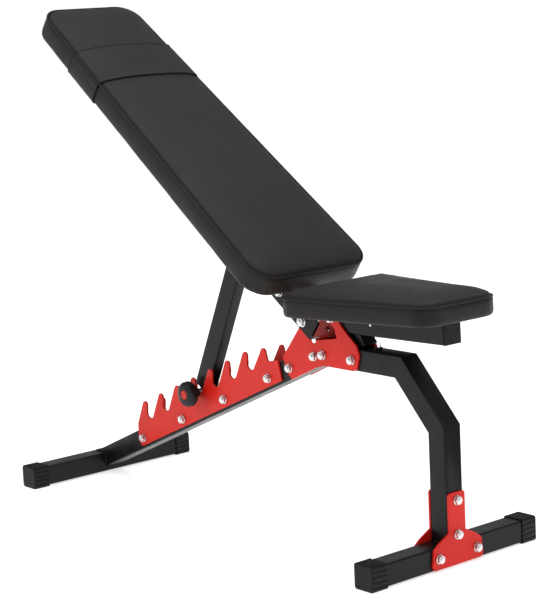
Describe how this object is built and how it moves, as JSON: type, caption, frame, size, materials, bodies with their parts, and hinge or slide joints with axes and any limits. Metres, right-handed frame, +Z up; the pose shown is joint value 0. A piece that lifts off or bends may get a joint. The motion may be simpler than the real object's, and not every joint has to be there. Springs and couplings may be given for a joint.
{
  "type": "adjustable weight bench",
  "caption": "Adjustable weight bench: padded backrest on a ladder strut, tilting padded seat, square-tube frame with red side plates and capped feet.",
  "frame": {"origin": "on the floor, midway along the bench's length and width", "axes": "+X towards the seat's front and the front foot, +Y towards the side away from the knob, +Z up"},
  "size_m": [1.3458, 0.5, 1.1989],
  "materials": {
    "black_frame": "semi-matte black powder coat",
    "red_plate": "satin red powder coat",
    "vinyl": "charcoal grained vinyl",
    "rubber": "matt black",
    "zinc": "bright zinc plated",
    "chrome": "polished",
    "knob_plastic": "fine textured black",
    "knob_red": "smooth red"
  },
  "bodies": {
    "frame": {"front_foot_tube": "black_frame", "front_foot_cap_near": "rubber", "front_foot_cap_far": "rubber", "rear_foot_tube": "black_frame", "rear_foot_cap_near": "rubber", "rear_foot_cap_far": "rubber", "front_post": "black_frame", "spine_tube": "black_frame", "front_t_plate": "red_plate", "rear_t_plate": "red_plate", "ladder_plate_near": "red_plate", "ladder_plate_far": "red_plate", "junction_plate_near": "red_plate", "junction_plate_far": "red_plate", "stop_rod": "chrome", "t_plate_bolt_post_upper": "zinc", "t_plate_bolt_post_lower": "zinc", "t_plate_bolt_foot_near": "zinc", "t_plate_bolt_foot_far": "zinc", "ladder_bolt_1": "zinc", "ladder_bolt_2": "zinc", "ladder_bolt_3": "zinc", "ladder_bolt_4": "zinc", "junction_bolt_1": "zinc", "junction_bolt_2": "zinc", "junction_bolt_3": "zinc", "junction_bolt_4": "zinc", "backrest_pivot_bolt": "zinc", "seat_pivot_bolt": "zinc"},
    "backrest": {"backrest_tube": "black_frame", "backrest_arm_near": "black_frame", "backrest_arm_far": "black_frame", "backrest_arm_bolt_1": "zinc", "backrest_arm_bolt_2": "zinc", "backrest_tube_plug": "rubber", "pad_rail_lower": "black_frame", "pad_rail_upper": "black_frame", "backrest_pad": "vinyl", "head_sleeve": "vinyl", "strut_bracket": "black_frame", "strut_hinge_bolt": "zinc"},
    "strut": {"strut_tube": "black_frame", "strut_end_lug": "zinc", "strut_cross_rod": "chrome"},
    "knob": {"knob": "knob_plastic", "knob_cap": "knob_red"},
    "seat": {"seat_beam": "black_frame", "seat_beam_cap": "rubber", "seat_bracket": "black_frame", "seat_pad": "vinyl", "seat_prop_pin": "zinc"},
    "seat_prop": {"seat_prop": "chrome", "seat_prop_foot": "rubber"}
  },
  "joints": [
    {"name": "backrest_hinge", "type": "hinge", "parent": "frame", "child": "backrest", "pos_m": [0.20307, 0, 0.4895], "axis": [0, 1, 0], "range_deg": [0, 25]},
    {"name": "strut_hinge", "type": "hinge", "parent": "backrest", "child": "strut", "pos_m": [-0.05276, 0, 0.60932], "axis": [0, 1, 0], "range_deg": [-18, 0]},
    {"name": "knob_turn", "type": "hinge", "parent": "strut", "child": "knob", "pos_m": [-0.20181, 0, 0.27245], "axis": [0, 1, 0], "continuous": true},
    {"name": "seat_hinge", "type": "hinge", "parent": "frame", "child": "seat", "pos_m": [0.29007, 0, 0.505], "axis": [0, -1, 0], "range_deg": [0, 12]},
    {"name": "prop_hinge", "type": "hinge", "parent": "seat", "child": "seat_prop", "pos_m": [0.41018, 0, 0.50091], "axis": [0, 1, 0], "range_deg": [0, 12.5]}
  ],
  "couplings": [
    {"joint": "strut_hinge", "follows": "backrest_hinge", "ratio": -0.7},
    {"joint": "prop_hinge", "follows": "seat_hinge", "ratio": 1}
  ]
}
